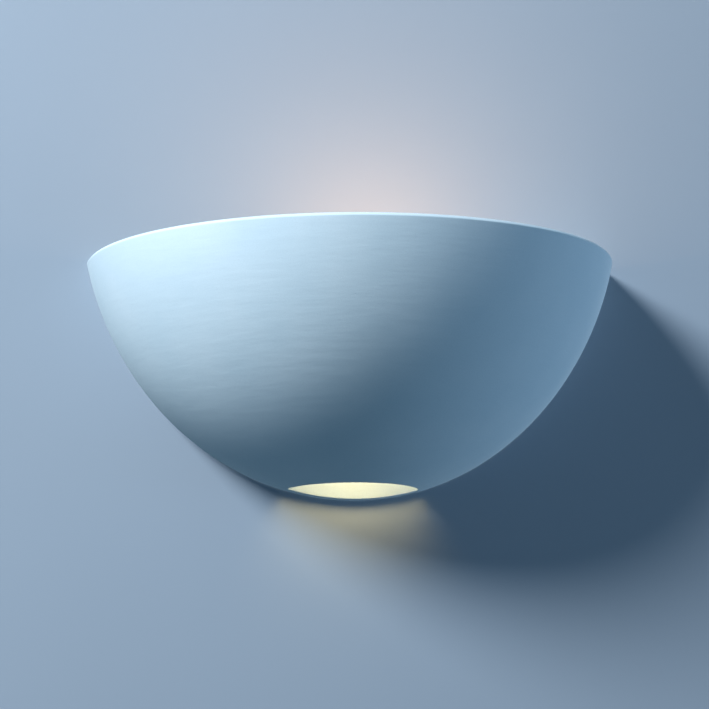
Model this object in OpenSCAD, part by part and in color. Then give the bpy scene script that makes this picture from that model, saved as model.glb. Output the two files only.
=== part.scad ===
// Uplighter wall sconce: a half bowl of bisque-fired ceramic, open at the top and with a
// half-round light slot in its bottom. It hangs on two studs of a steel wall plate, and a
// screw-cap lamp lies across it on a bracket. Millimetres.
// The origin is on the wall, midway between the two fixing slots. +X is to the right seen
// from the room, +Y goes into the wall and +Z is up.

/* [Ceramic shade] */
// Radius of the bowl's rim, measured on the wall
bowl_r = 200; // [188:1:215]
// Height of the bowl, from its rim to its lowest point
bowl_h = 180; // [172:1:200]
// Height of the profile ellipse's centre above the rim
profile_rise = 49; // [35:1:65]
// Thickness of the bowl's wall
wall_t = 7; // [6:0.5:9]
// Radius of the rim's sponged edges
rim_round = 2; // [1:0.25:2.75]
// Thickness of the back flange that lies against the wall
flange_t = 8; // [7:0.5:10]
// Width of the back flange at the rim
flange_side = 14; // [10:1:20]
// Height of the back flange at the bottom
flange_bottom = 20; // [15:1:25]
// Radius of the half-round light slot in the bottom
slot_r = 50; // [35:1:60]
// Radius of the lugs that the studs pass through
lug_r = 14; // [12.5:0.5:17]
// Height of the rim above the wall fixings
rim_z = 75; // [70:1:82]

/* [Shade fixings] */
// Distance of the studs in from the bowl's outline
stud_inset = 21; // [18:0.5:24]
// Height of the studs above the wall fixings
stud_z = 32; // [30:0.5:34]
// Radius of the shade studs
stud_r = 2.45; // [2:0.05:2.9]
// Radius of the studs' flush heads
stud_head_r = 3.6; // [3.3:0.1:4.5]
// Thickness of the studs' flush heads
stud_head_t = 0.8; // [0.5:0.1:1]
// Room around a stud in the ceramic
stud_hole_clear = 1.1; // [0.5:0.1:2]
// Running fit of a thumb nut on its stud
nut_fit = 0.08; // [0.02:0.01:0.1]
// Radius of the knurled head of a thumb nut
nut_r = 8; // [6.5:0.5:10]
// Thickness of a thumb nut
nut_t = 6.4; // [5:0.1:9]
// Radius of the plain collar of a thumb nut
nut_collar_r = 5.5; // [4.5:0.25:6]
// Length of that collar
nut_collar_t = 2; // [1:0.25:3]
// Number of grooves round a thumb nut
knurl_count = 30; // [20:1:36]
// Length of stud that shows past its thumb nut
stud_proud = 0.8; // [0.4:0.1:3]
// Radius of the washers
washer_r = 7.5; // [6.5:0.5:9]
// Thickness of the washers
washer_t = 1; // [0.8:0.1:1.6]
// Thickness of the felt pads between ceramic and steel
felt_t = 1.5; // [1:0.25:2.5]

/* [Wall plate] */
// Width of the plate's tray
plate_w = 170; // [164:1:176]
// Height of the plate's tray
plate_h = 90; // [89:1:96]
// Thickness of the steel sheet
plate_t = 1.5; // [1.2:0.1:1.8]
// Depth of the tray, from the wall to its front edge
tray_depth = 18; // [17:0.5:22]
// Height of the two wings that carry the studs
wing_h = 20; // [17:0.5:22]
// Room around a wing in the back of the ceramic
wing_gap = 1.5; // [0.75:0.25:2]
// Distance between the two fixing slots
fixing_spacing = 84; // [74:1:88]
// Width of a fixing slot
fixing_slot_w = 5; // [4:0.25:6]
// Length of a fixing slot
fixing_slot_l = 12; // [9:0.5:13]
// Height of the cable entry above the fixing slots
cable_z = 22; // [20:0.5:23]
// Radius of the plate's cable hole
cable_hole_r = 7; // [6:0.25:8]
// Width and length of the tabs that take the cover's screws
tab_size = 12; // [10:0.5:14]

/* [Cover] */
// Thickness of the cover's sheet
cover_t = 0.8; // [0.6:0.1:1.2]
// Length of the cover's folded edge
cover_lip = 6; // [4:0.5:9]
// Room between the cover and the tray
cover_gap = 0.3; // [0.2:0.05:0.6]
// Corner radius of the cover
cover_corner_r = 3; // [2:0.25:6]
// Room around the bracket's arm in the cover
arm_slot_gap = 1.5; // [0.5:0.25:2]
// Radius of the bush that the lamp's leads pass through
bush_r = 5; // [4.6:0.1:5.8]

/* [Fasteners] */
// Radius of the machine screws that hold cover, bracket, lampholder and earth tag
screw_r = 2; // [1.5:0.1:2.2]
// Radius of their heads
screw_head_r = 3.6; // [3:0.1:4]
// Thickness of their heads
screw_head_t = 2.2; // [1.6:0.1:2.8]
// Length of screw below the tab or strip it holds
screw_tail = 3; // [1:0.5:5]
// Room around a screw in the piece that it passes through
screw_clear = 0.2; // [0.1:0.05:0.4]

/* [Wiring] */
// Radius of an insulated lead
lead_r = 1.3; // [1:0.05:1.4]
// Wall of the cable grommet
grommet_wall = 2.5; // [2:0.25:3.5]
// Thickness of the grommet's and the bush's lips
grommet_lip = 1.6; // [1:0.1:2]
// Distance between the poles of the terminal block
pole_pitch = 13; // [12.5:0.25:14]
// Length of the terminal block along a pole
block_l = 18; // [16:0.5:20]
// Thickness of the terminal block's base
block_base_t = 4; // [3:0.25:5]
// Height of a pole's centre above the plate
pole_rise = 7; // [6.5:0.25:8]
// Distance of the terminal block below the fixing slots
block_drop = 18; // [17:0.5:19]
// Outer radius of the terminal block's brass inserts
insert_r = 3; // [2.6:0.1:3.2]
// Bore radius of those inserts
insert_bore_r = 1.9; // [1.6:0.05:2]
// Plastic around an insert
pole_wall = 1.2; // [1:0.1:1.4]
// Distance of the earth screw to the right of the centre
earth_x = 60; // [56:0.5:66]

/* [Lamp bracket] */
// Distance of the bracket's arm in from the tray's side
arm_inset = 5; // [4:0.5:7]
// Width of the bracket's strip
strip_w = 28; // [26:1:30]
// Thickness of the bracket's strip
strip_t = 2; // [1.5:0.25:3]
// Length of the bracket's foot
foot_l = 28; // [24:0.5:29]
// Distance from the bowl's outside to the lamp's axis
lamp_inset = 74; // [70:0.5:80]
// Height of the lamp's axis above the wall fixings
lamp_z = -5; // [-8:0.5:-3]
// Distance of the lead clip from the wall
clip_y = 45; // [38:0.5:50]

/* [Lampholder] */
// Radius of the porcelain body
holder_r = 20; // [19:0.25:22]
// Length of the porcelain body
holder_l = 42; // [40:0.5:44]
// Thickness of the porcelain floor under the screw shell
holder_floor = 14; // [12.5:0.25:15]
// Porcelain around the screw shell
holder_wall = 4.4; // [3.5:0.1:5]
// Outer radius of the screw shell
shell_r = 14.2; // [14:0.05:14.6]
// Room between shell and porcelain
shell_gap = 0.3; // [0.1:0.05:0.5]
// Space for the contact tongue, from the floor to the lamp's tip
contact_space = 3; // [2.6:0.1:3.4]
// Gap left between tongue and lamp tip
contact_gap = 0.3; // [0.15:0.05:0.4]
// Thickness of the brass strips under the lamp
strap_t = 0.5; // [0.4:0.05:0.7]
// Length of the springing part of the contact tongue
tongue_l = 7.2; // [6.6:0.1:7.6]

/* [Lamp] */
// Radius of the lamp's glass
lamp_r = 30; // [27:0.5:32]
// Length of the lamp from tip to crown
lamp_l = 107; // [100:0.5:110]
// Thickness of the lamp's glass
glass_t = 0.8; // [0.5:0.1:1.2]
// Pitch of the lamp's screw cap
cap_pitch = 3.629; // [3.55:0.001:3.7]
// Mean radius of the cap's thread
cap_r = 12.65; // [12.4:0.01:12.7]
// Half the depth of that thread
thread_depth = 0.55; // [0.4:0.01:0.6]
// Radial play between cap and shell
thread_play = 0.35; // [0.3:0.01:0.4]
// Turns that free the cap from the shell
free_turns = 3; // [2:1:3]

/* [Hidden] */
$fn = 64;
cut = 1; // how far a cutting body runs past the face that it cuts
snug = 0.05; // room around a thread, rivet or press fit

// The bowl's profile: an ellipse about a point above the rim
profile_h = bowl_h + profile_rise;
profile_w = bowl_r / sqrt(1 - pow(profile_rise / profile_h, 2));
profile_steps = 36;
round_steps = 4;

// Radius of the bowl's outside at a height above the wall fixings
function outline_r(z) = profile_w * sqrt(1 - pow((rim_z - z + profile_rise) / profile_h, 2));

// Points down an ellipse of half-axes w and h, from the depth d below the rim to its lowest point
function profile_points(w, h, d) = let (start = asin((profile_rise + d) / h))
    [for (i = [0:profile_steps]) let (t = start + (90 - start) * i / profile_steps)
        [w * cos(t), rim_z + profile_rise - h * sin(t)]];

stud_x = outline_r(stud_z) - stud_inset;
lug_back = plate_t + felt_t; // depth of the recess behind a lug
nut_y = flange_t + washer_t; // distance of a nut's inner face from the wall
stud_l = nut_y + nut_t + stud_proud;
wing_r = wing_h / 2;
washer_fit = 0.25; // room between washer and stud
knurl_w = 0.7; // side of a square knurl groove

lid_y = tray_depth + cover_t; // front face of the cover
corner_stop = 0.6; // small square left inside each corner of the cover's fold
tab_z = plate_h / 2 - plate_t - tab_size / 2;
tray_low = plate_t - plate_h / 2; // inner face of the tray's lower side
flap_slit = 0.8; // between a tray's end wall and the flap that closes it in front of the wing
dish_depth = grommet_lip + 0.4; // the cable hole is dished forward, so its grommet stays off the wall
dish_r = cable_hole_r + 5;
grommet_r = cable_hole_r + 2.5;
grommet_bore_r = cable_hole_r - grommet_wall;

arm_x = arm_inset - plate_w / 2; // left face of the bracket's arm
arm_face_x = arm_x + strip_t;
lamp_y = outline_r(lamp_z) - lamp_inset; // distance of the lamp's axis from the wall
bush_x = arm_x + foot_l / 2;
bush_wall = 1.7;
bush_lip = 0.8; // by which the bush's lips are wider than its hole
bush_bore_r = bush_r - bush_wall;
strip_screw_inset = 8; // from the end of the bracket's foot
strip_screw_x = arm_x + foot_l - strip_screw_inset;
strip_screw_z = 8;
clip_l = 8;
clip_leg_w = 4;
clip_leg_t = 1.4;
clip_channel_w = 4 * lead_r + 1.4;
clip_channel_h = 2 * lead_r + 0.8;
lead_spread = lead_r + 0.35; // of the two leads from the middle of bush and clip

block_w = 3 * pole_pitch;
pole_y = -plate_t - pole_rise;
pole_half_w = insert_r + pole_wall;
pole_screw_r = 1.5;
pole_screw_z = 4.5; // distance of a clamping screw from the block's middle
block_screw_r = 1.4;
block_screw_head_r = min(2.2, pole_pitch / 2 - pole_half_w);
insert_l = block_l - 4;
earth_z = 20;
tag_t = 0.8;
tag_r = 4.5;
tag_barrel_r = lead_r + 0.6;
tag_barrel_l = 7;
tag_reach = 18; // from the earth screw to the far end of the tag's barrel

floor_x = arm_face_x + holder_floor;
mouth_x = arm_face_x + holder_l;
tip_x = floor_x + contact_space;
bore_r = shell_r + shell_gap;
shell_start_x = floor_x + strap_t;
shell_end_x = mouth_x - 2;
terminal_x = arm_face_x + 4.5; // plane of the leads inside the lampholder
terminal_w = 6;
terminal_b = 8; // terminals and rivets are this far towards the wall from the lamp's axis
terminal_a = 4.5; // and this far above and below it
rivet_from_axis = norm([terminal_a, terminal_b]);
rivet_turn = atan2(terminal_b, terminal_a);
rivet_r = 1.2;
tongue_pivot = 6.5; // distance of the tongue's bend from the lamp's axis
tongue_tilt = asin((contact_space - contact_gap - strap_t) / tongue_l);
tongue_w = 4;
holder_screw_a = 9;
holder_screw_b = 6;
holder_screw_r = 1.7;
holder_hole_l = 9; // depth of the blind holes and of the terminals' pockets
terminal_l = 7.5;
terminal_room = 0.2; // between a terminal and its pocket
terminal_end_x = arm_face_x + holder_hole_l - 0.5;

cap_steps = 24; // facets round a thread
rings_per_turn = 6;
tip_t = 1; // thickness of the lamp's tip contact
cap_nose = 6; // distance of the cap's thread from the lamp's tip
cap_turns = 4;
cap_lip = 0.6; // plain edge of the cap in front of its thread
cap_sheet = 0.9; // from the thread's root in to the cap's bore
skirt_l = 27; // distance of the cap's far end from the lamp's tip
skirt_step = 0.55; // by which the skirt is wider than the thread's mean
neck_depth = 2; // by which the glass's neck stands inside the skirt
neck_room = 0.75; // from the skirt's outside to the neck
cap_start_x = tip_x + cap_nose;
cap_end_x = cap_start_x + cap_turns * cap_pitch;
skirt_end_x = tip_x + skirt_l;
skirt_r = cap_r + skirt_step;
cap_inner_r = cap_r - thread_depth - cap_sheet;
shell_thread_end_x = cap_start_x + free_turns * cap_pitch;
shell_thread_start_x = shell_thread_end_x - cap_turns * cap_pitch;
bulb_x = tip_x + lamp_l - lamp_r;
neck_x = skirt_end_x - neck_depth;
neck_r = skirt_r - neck_room;
bulb_turn = 125; // where the ball of the glass runs into its neck, from the crown
stem_r = 4;
stem_flare_l = 9; // length of the stem's flare at the neck
stem_head_x = bulb_x - 8; // far end of the stem's button
stem_button_r = 3;
stem_button_l = 2;
stem_rod_r = 1.6;
stem_pinch = 16; // distance of the pinch, which holds the lead-in wires, from the stem's far end
stem_pinch_l = 4;
wire_r = 0.35;
lead_in_r = 2.4; // distance of the two lead-in wires from the axis, in the pinch
support_in_r = 2; // and of the three supports, in the button
filament_r = 13;
filament_turn = 150; // half the angle of the filament's arc
filament_steps = 18;

// ---- Helpers ----

// Stands a flat outline drawn in X and Z on the wall plane, from y = -far to y = -near
module off_wall(near, far) {
    translate([0, -near, 0]) rotate([90, 0, 0]) linear_extrude(height = far - near) children();
}

// Turns what is drawn about Z so that it lies along the lamp's axis, with its z as the real x
module on_lamp_axis() {
    translate([0, -lamp_y, lamp_z]) rotate([0, 90, 0]) children();
}

module rounded_rect(w, h, r) {
    square([w - 2 * r, h], center = true);
    square([w, h - 2 * r], center = true);
    for (x = [-1, 1], y = [-1, 1]) translate([x * (w / 2 - r), y * (h / 2 - r)]) circle(r = r);
}

module slot_outline(l, w) {
    square([l - w, w], center = true);
    for (x = [-1, 1]) translate([x * (l - w) / 2, 0]) circle(d = w);
}

// A pan-head screw from y = -deep up to its head, which rests on y = -seat
module pan_screw(x, z, seat, deep, r = screw_r, head_r = screw_head_r, head_t = screw_head_t) {
    translate([x, -deep, z]) rotate([90, 0, 0]) cylinder(r = r, h = seat - deep + head_t / 2);
    difference() {
        translate([x, -seat, z]) rotate([90, 0, 0]) cylinder(r = head_r, h = head_t);
        translate([x - head_r, -seat - head_t - cut, z - head_t / 6])
            cube([2 * head_r, cut + head_t / 2, head_t / 3]);
    }
}

// Triangles between two rings of n points, which face outwards when b lies past a
function band(a, b, n) = [for (j = [0:n - 1]) let (k = (j + 1) % n)
    each [[a + j, b + j, b + k], [a + j, b + k, a + k]]];

// A closed body through rings of points, whose last ring joins the first
module ring_body(rings) {
    n = len(rings[0]);
    m = len(rings);
    polyhedron(
        points = [for (ring = rings, p = ring) p],
        faces = [for (i = [0:m - 1]) each band(i * n, ((i + 1) % m) * n, n)],
        convexity = 6);
}

// A plain ring of the lamp's cap or shell
function plain_ring(x, r) = [for (j = [0:cap_steps - 1]) let (a = 360 * j / cap_steps)
    [r * cos(a), r * sin(a), x]];

// 0 outside a thread's length, rising to 1 a pitch inside it
function thread_fade(x, from, to) = max(0, min(1, (x - from) / cap_pitch, (to - x) / cap_pitch));

// Rings of a right-handed rounded thread; side is -1 to end at its root and 1 at its crest
function thread_rings(from, to, mean_r, side) = [
    for (i = [0:cap_turns * rings_per_turn])
        let (x = from + i * cap_pitch / rings_per_turn, f = thread_fade(x, from, to))
        [for (j = [0:cap_steps - 1])
            let (a = 360 * j / cap_steps,
                wave = f * cos(360 * x / cap_pitch - a) + side * (1 - f),
                r = mean_r + thread_depth * wave)
            [r * cos(a), r * sin(a), x]]];

function reversed(list) = [for (i = [len(list) - 1:-1:0]) list[i]];
function unit(v) = v / norm(v);

// A smooth curve through the points, with that many steps between two of them
function smooth_path(p, steps) = let (n = len(p),
        q = concat([2 * p[0] - p[1]], p, [2 * p[n - 1] - p[n - 2]]))
    [for (i = [1:n - 1], s = [0:steps - 1]) let (t = s / steps)
        0.5 * (2 * q[i] + (q[i + 1] - q[i - 1]) * t
            + (2 * q[i - 1] - 5 * q[i] + 4 * q[i + 1] - q[i + 2]) * t * t
            + (3 * q[i] - q[i - 1] - 3 * q[i + 1] + q[i + 2]) * t * t * t),
     p[n - 1]];

function tangents(p) = let (n = len(p))
    [for (i = [0:n - 1]) unit(p[min(i + 1, n - 1)] - p[max(i - 1, 0)])];

// A side direction at each point that turns with the path and doesn't twist round it
function side_directions(t, first) = let (start = unit(first - (first * t[0]) * t[0]))
    [for (i = 0, e = start; i < len(t); i = i + 1,
        e = i < len(t) ? unit(e - (e * t[i]) * t[i]) : e) e];

// A solid round tube along the points
module tube(p, r, sides, first = [0, 1, 0]) {
    t = tangents(p);
    e = side_directions(t, first);
    n = len(p);
    points = [for (i = [0:n - 1]) let (f = cross(t[i], e[i])) for (j = [0:sides - 1])
        let (a = 360 * j / sides) p[i] + r * cos(a) * e[i] + r * sin(a) * f];
    start_cap = [for (j = [0:sides - 1]) j];
    end_cap = [for (j = [sides - 1:-1:0]) (n - 1) * sides + j];
    sides_faces = [for (i = [0:n - 2]) each band(i * sides, (i + 1) * sides, sides)];
    polyhedron(points = points, faces = concat([start_cap], sides_faces, [end_cap]), convexity = 8);
}

// ---- Ceramic shade ----

// The bowl as if it were solid, as far as the wall
module bowl_solid() {
    edge_r = outline_r(rim_z - rim_round) - rim_round;
    edge = [for (i = [0:round_steps - 1]) let (a = 90 - 90 * i / round_steps)
        [edge_r + rim_round * cos(a), rim_z - rim_round + rim_round * sin(a)]];
    rotate_extrude(angle = 180, start = 180)
        polygon(concat([[0, rim_z]], edge, profile_points(profile_w, profile_h, rim_round)));
}

// The space inside the bowl's wall, in front of the back flange
module bowl_space() {
    inside = profile_points(profile_w - wall_t, profile_h - wall_t, rim_round);
    edge_r = inside[0][0] + rim_round;
    edge = [for (i = [0:round_steps - 1]) let (a = 90 + 90 * i / round_steps)
        [edge_r + rim_round * cos(a), rim_z - rim_round + rim_round * sin(a)]];
    difference() {
        rotate_extrude(angle = 180, start = 180)
            polygon(concat([[0, rim_z + cut], [edge_r, rim_z + cut]], edge, inside));
        translate([-bowl_r, -flange_t, rim_z - bowl_h])
            cube([2 * bowl_r, flange_t + cut, bowl_h + 2 * cut]);
    }
}

// The window in the back flange, as an outline on the wall
module flange_window() {
    edge = profile_points(profile_w - flange_side, profile_h - flange_bottom, 0);
    mirrored = [for (p = reversed(edge)) [-p[0], p[1]]];
    top = [[-edge[0][0], rim_z + cut], [edge[0][0], rim_z + cut]];
    difference() {
        polygon(concat(top, edge, mirrored));
        for (side = [-1, 1]) translate([side * stud_x, stud_z]) circle(r = lug_r);
    }
}

// A wing of the wall plate as an outline, widened by gap
module wing_outline(gap = 0) {
    translate([0, stud_z - wing_r - gap]) square([stud_x, wing_h + 2 * gap]);
    translate([stud_x, stud_z]) circle(r = wing_r + gap);
}

module ceramic_shade() {
    color("#dfe7ea") difference() {
        bowl_solid();
        bowl_space();
        off_wall(-cut, flange_t + cut) flange_window();
        translate([0, 0, rim_z - bowl_h - cut]) intersection() {
            cylinder(r = slot_r, h = bowl_h / 2);
            translate([-slot_r, -slot_r - flange_t, 0]) cube([2 * slot_r, slot_r, bowl_h / 2]);
        }
        for (side = [0, 1]) mirror([side, 0, 0]) {
            off_wall(-cut, lug_back) wing_outline(wing_gap);
            off_wall(-cut, flange_t + cut) translate([stud_x, stud_z])
                circle(r = stud_r + stud_hole_clear);
        }
    }
}

module felt_pad() {
    color("#6c6a66") off_wall(plate_t, lug_back) translate([stud_x, stud_z]) difference() {
        circle(r = wing_r);
        circle(r = stud_r + stud_hole_clear);
    }
}
module left_felt_pad() { mirror([1, 0, 0]) felt_pad(); }
module right_felt_pad() { felt_pad(); }

module shade_stud() {
    color("#b9bcbd") translate([stud_x, 0, stud_z]) rotate([90, 0, 0]) {
        cylinder(r = stud_head_r, h = stud_head_t);
        cylinder(r = stud_r, h = stud_l);
    }
}
module left_shade_stud() { mirror([1, 0, 0]) shade_stud(); }
module right_shade_stud() { shade_stud(); }

module washer() {
    color("#c4c6c6") off_wall(flange_t, nut_y) translate([stud_x, stud_z]) difference() {
        circle(r = washer_r);
        circle(r = stud_r + washer_fit);
    }
}
module left_washer() { mirror([1, 0, 0]) washer(); }
module right_washer() { washer(); }

module thumb_nut() {
    color("#b99a52") translate([stud_x, 0, stud_z]) {
        off_wall(nut_y, nut_y + nut_collar_t) difference() {
            circle(r = nut_collar_r);
            circle(r = stud_r + nut_fit);
        }
        off_wall(nut_y + nut_collar_t, nut_y + nut_t) difference() {
            circle(r = nut_r);
            circle(r = stud_r + nut_fit);
            for (i = [0:knurl_count - 1]) rotate(360 * i / knurl_count)
                translate([nut_r + knurl_w / 7, 0]) rotate(45) square(knurl_w, center = true);
        }
    }
}
module left_thumb_nut() { mirror([1, 0, 0]) thumb_nut(); }
module right_thumb_nut() { thumb_nut(); }

// ---- Wall plate and cover ----

module wall_plate() {
    half_w = plate_w / 2;
    half_h = plate_h / 2;
    side_top = stud_z - wing_r - wing_gap; // each end wall stops below its wing
    color("#c9cccc") difference() {
        union() {
            off_wall(0, plate_t) {
                square([plate_w, plate_h], center = true);
                for (side = [0, 1]) mirror([side, 0]) wing_outline();
            }
            for (side = [-1, 1]) {
                translate([-half_w, -tray_depth, side * (half_h - plate_t / 2) - plate_t / 2])
                    cube([plate_w, tray_depth, plate_t]);
                translate([side * (half_w - plate_t / 2) - plate_t / 2, -tray_depth, 0]) {
                    translate([0, 0, -half_h]) cube([plate_t, tray_depth, half_h + side_top]);
                    translate([0, 0, side_top + flap_slit])
                        cube([plate_t, tray_depth - plate_t - wing_gap, half_h - side_top - flap_slit]);
                }
                translate([-tab_size / 2, -tray_depth, side * tab_z - tab_size / 2])
                    cube([tab_size, plate_t, tab_size]);
            }
            off_wall(0, plate_t + dish_depth) translate([0, cable_z]) circle(r = dish_r + plate_t);
        }
        off_wall(-cut, dish_depth) translate([0, cable_z]) circle(r = dish_r);
        off_wall(-cut, plate_t + dish_depth + cut) translate([0, cable_z]) circle(r = cable_hole_r);
        off_wall(-cut, plate_t + cut) {
            for (side = [-1, 1]) {
                translate([side * fixing_spacing / 2, 0]) slot_outline(fixing_slot_l, fixing_slot_w);
                translate([side * stud_x, stud_z]) circle(r = stud_r);
                translate([strip_screw_x, lamp_z + side * strip_screw_z]) circle(r = screw_r);
            }
            translate([pole_pitch / 2, -block_drop]) circle(r = block_screw_r);
            translate([earth_x, earth_z]) circle(r = screw_r);
        }
        off_wall(-cut, stud_head_t) for (side = [-1, 1])
            translate([side * stud_x, stud_z]) circle(r = stud_head_r);
        off_wall(tray_depth - plate_t - cut, tray_depth + cut) for (side = [-1, 1])
            translate([0, side * tab_z]) circle(r = screw_r);
    }
}

module reflector_cover() {
    room = 2 * cover_gap;
    outer_w = plate_w + room + 2 * cover_t;
    outer_h = plate_h + room + 2 * cover_t;
    color("#d5d7d8") difference() {
        off_wall(tray_depth - cover_lip, lid_y) rounded_rect(outer_w, outer_h, cover_corner_r);
        off_wall(tray_depth - cover_lip - cut, tray_depth) difference() {
            square([plate_w + room, plate_h + room], center = true);
            for (x = [-1, 1], z = [-1, 1])
                translate([x * (plate_w + room) / 2, z * (plate_h + room) / 2])
                square(corner_stop, center = true);
        }
        off_wall(tray_depth - cut, lid_y + cut) {
            for (side = [-1, 1]) translate([0, side * tab_z]) circle(r = screw_r + screw_clear);
            translate([arm_x + strip_t / 2, lamp_z])
                square([strip_t + 2 * arm_slot_gap, strip_w + 2 * arm_slot_gap], center = true);
            translate([bush_x, lamp_z]) circle(r = bush_r);
        }
    }
}

module cover_screws() {
    color("#aeb1b2") for (side = [-1, 1])
        pan_screw(0, side * tab_z, lid_y, tray_depth - plate_t - screw_tail);
}

// A round lipped bush in a sheet that lies from y = -far to y = -near
module lipped_bush(x, z, near, far, groove_r, lip_r, lip_t, hole_r) {
    difference() {
        union() {
            off_wall(near, far) translate([x, z]) circle(r = groove_r);
            off_wall(near - lip_t, near) translate([x, z]) circle(r = lip_r);
            off_wall(far, far + lip_t) translate([x, z]) circle(r = lip_r);
        }
        off_wall(near - lip_t - cut, far + lip_t + cut) translate([x, z]) circle(r = hole_r);
    }
}

module supply_grommet() {
    color("#26282a") lipped_bush(0, cable_z, dish_depth, dish_depth + plate_t,
        cable_hole_r, grommet_r, grommet_lip, grommet_bore_r);
}

module lead_bush() {
    color("#ece9e0") lipped_bush(bush_x, lamp_z, tray_depth, lid_y,
        bush_r, bush_r + bush_lip, 1, bush_bore_r);
}

// ---- Terminal block, earth and leads ----

module terminal_block() {
    color("#e9e6dc") difference() {
        translate([0, -plate_t, -block_drop - block_l / 2]) mirror([0, 1, 0])
            linear_extrude(height = block_l) difference() {
                union() {
                    translate([-block_w / 2, 0]) square([block_w, block_base_t]);
                    for (i = [-1:1]) translate([i * pole_pitch, 0]) {
                        translate([-pole_half_w, 0]) square([2 * pole_half_w, pole_rise]);
                        translate([0, pole_rise]) circle(r = pole_half_w);
                    }
                }
                for (i = [-1:1]) translate([i * pole_pitch, pole_rise]) circle(r = insert_r);
            }
        for (i = [-1:1], side = [-1, 1])
            off_wall(-pole_y, plate_t + pole_rise + 2 * insert_r)
                translate([i * pole_pitch, side * pole_screw_z - block_drop])
                circle(r = pole_screw_r + screw_clear);
        off_wall(plate_t - cut, plate_t + block_base_t + cut)
            translate([pole_pitch / 2, -block_drop]) circle(r = block_screw_r + snug);
    }
}

module terminal_inserts() {
    color("#c8a253") for (i = [-1:1]) difference() {
        translate([i * pole_pitch, pole_y, -block_drop - insert_l / 2]) difference() {
            cylinder(r = insert_r, h = insert_l);
            translate([0, 0, -cut]) cylinder(r = insert_bore_r, h = insert_l + 2 * cut);
        }
        for (side = [-1, 1]) off_wall(-pole_y, insert_r + cut - pole_y)
            translate([i * pole_pitch, side * pole_screw_z - block_drop]) circle(r = pole_screw_r);
    }
}

module terminal_screws() {
    color("#b9bcbd") for (i = [-1:1], side = [-1, 1]) difference() {
        off_wall(lead_r + 0.1 - pole_y, insert_r + pole_wall - pole_y)
            translate([i * pole_pitch, side * pole_screw_z - block_drop]) circle(r = pole_screw_r);
        translate([i * pole_pitch - 2, pole_y - insert_r - pole_wall - cut,
            side * pole_screw_z - block_drop - 0.3]) cube([4, cut + 0.6, 0.6]);
    }
}

module terminal_block_screw() {
    color("#b9bcbd") pan_screw(pole_pitch / 2, -block_drop, plate_t + block_base_t, 0.2,
        block_screw_r, block_screw_head_r, 1.6);
}

module earth_tag() {
    color("#cfd2d2") {
        off_wall(plate_t, plate_t + tag_t) difference() {
            union() {
                translate([earth_x, earth_z]) circle(r = tag_r);
                translate([earth_x - 1.5, earth_z + tag_barrel_l - tag_reach])
                    square([3, tag_reach - tag_barrel_l]);
            }
            translate([earth_x, earth_z]) circle(r = screw_r + snug);
        }
        translate([earth_x, tag_barrel_y, tag_low_z]) difference() {
            cylinder(r = tag_barrel_r, h = tag_barrel_l);
            translate([0, 0, -cut]) cylinder(r = lead_r + 0.1, h = tag_barrel_l - 1 + cut);
        }
    }
}

module earth_screw() {
    color("#b99a52") pan_screw(earth_x, earth_z, plate_t + tag_t, 0.2);
}

// The inner end of a lead in its terminal, and the way it takes out of the block's lower side
function lead_start(pole) = let (z = -block_drop - insert_l / 2) [
    [pole * pole_pitch, pole_y, z + 3],
    [pole * pole_pitch, pole_y, z],
    [pole * pole_pitch, pole_y, z - 4]];

// The way out through the bush, along the arm under its clip and into the lampholder;
// side is 1 for the upper lead and -1 for the lower one
function lead_end(side) = [
    [bush_x, -tray_depth + 2, lamp_z + side * lead_spread],
    [bush_x, -lid_y - 1, lamp_z + side * lead_spread],
    [bush_x - 2, -lid_y - 6, lamp_z + side * lead_spread],
    [arm_face_x + lead_r + 0.5, -clip_y + 6, lamp_z + side * lead_spread],
    [arm_face_x + lead_r + 0.5, -clip_y, lamp_z + side * lead_spread],
    [arm_face_x + lead_r + 0.5, -clip_y - 6, lamp_z + side * lead_spread],
    [terminal_x - 0.6, (holder_r + 8 - lamp_y), lamp_z + side * 4],
    [terminal_x, (holder_r + 1 - lamp_y), lamp_z + side * terminal_a],
    [terminal_x, (terminal_b - 1 - lamp_y), lamp_z + side * terminal_a]];

live_route = concat(lead_start(-1), [
    [-pole_pitch - 5, pole_y, tray_low + 9.5], [-pole_pitch - 19, pole_y, tray_low + 7.5],
    [bush_x + 18, pole_y - 0.5, tray_low + 9.5], [bush_x + 6, pole_y - 0.5, tray_low + 16.5],
    [bush_x + 1.5, pole_y - 0.5, lamp_z - 11], [bush_x + 1, pole_y - 1, lamp_z - 2],
    [bush_x + 0.3, pole_y - 3.5, lamp_z + 1]], lead_end(1));

neutral_route = concat(lead_start(0), [
    [-5, pole_y, tray_low + 6.5], [-pole_pitch - 5, pole_y - 0.5, tray_low + 3.7],
    [-pole_pitch - 21, pole_y - 1.5, tray_low + 3.5], [bush_x + 16, 7 - tray_depth, tray_low + 5.5],
    [bush_x + 2, 5.8 - tray_depth, lamp_z - 24], [bush_x - 2, 5.2 - tray_depth, lamp_z - 13],
    [bush_x - 1.4, 4.8 - tray_depth, lamp_z - 4]], lead_end(-1));

tag_low_z = earth_z - tag_reach; // lower end of the earth tag's barrel
tag_barrel_y = -plate_t - tag_barrel_r;
earth_route = concat(lead_start(1), [
    [pole_pitch + 5, pole_y, tray_low + 9.5], [pole_pitch + 19, pole_y, tray_low + 7.5],
    [earth_x - 14, pole_y + 1.5, tray_low + 12.5], [earth_x - 3, pole_y + 3.5, tag_low_z - 20],
    [earth_x, tag_barrel_y, tag_low_z - 8], [earth_x, tag_barrel_y, tag_low_z],
    [earth_x, tag_barrel_y, tag_low_z + tag_barrel_l - 2]]);

module lead(route) { tube(smooth_path(route, 3), lead_r, 8, [0, 1, 0]); }
module live_lead() { color("#8a5a3c") lead(live_route); }
module neutral_lead() { color("#5b86a8") lead(neutral_route); }
module earth_lead() { color("#9aa84a") lead(earth_route); }

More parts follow.
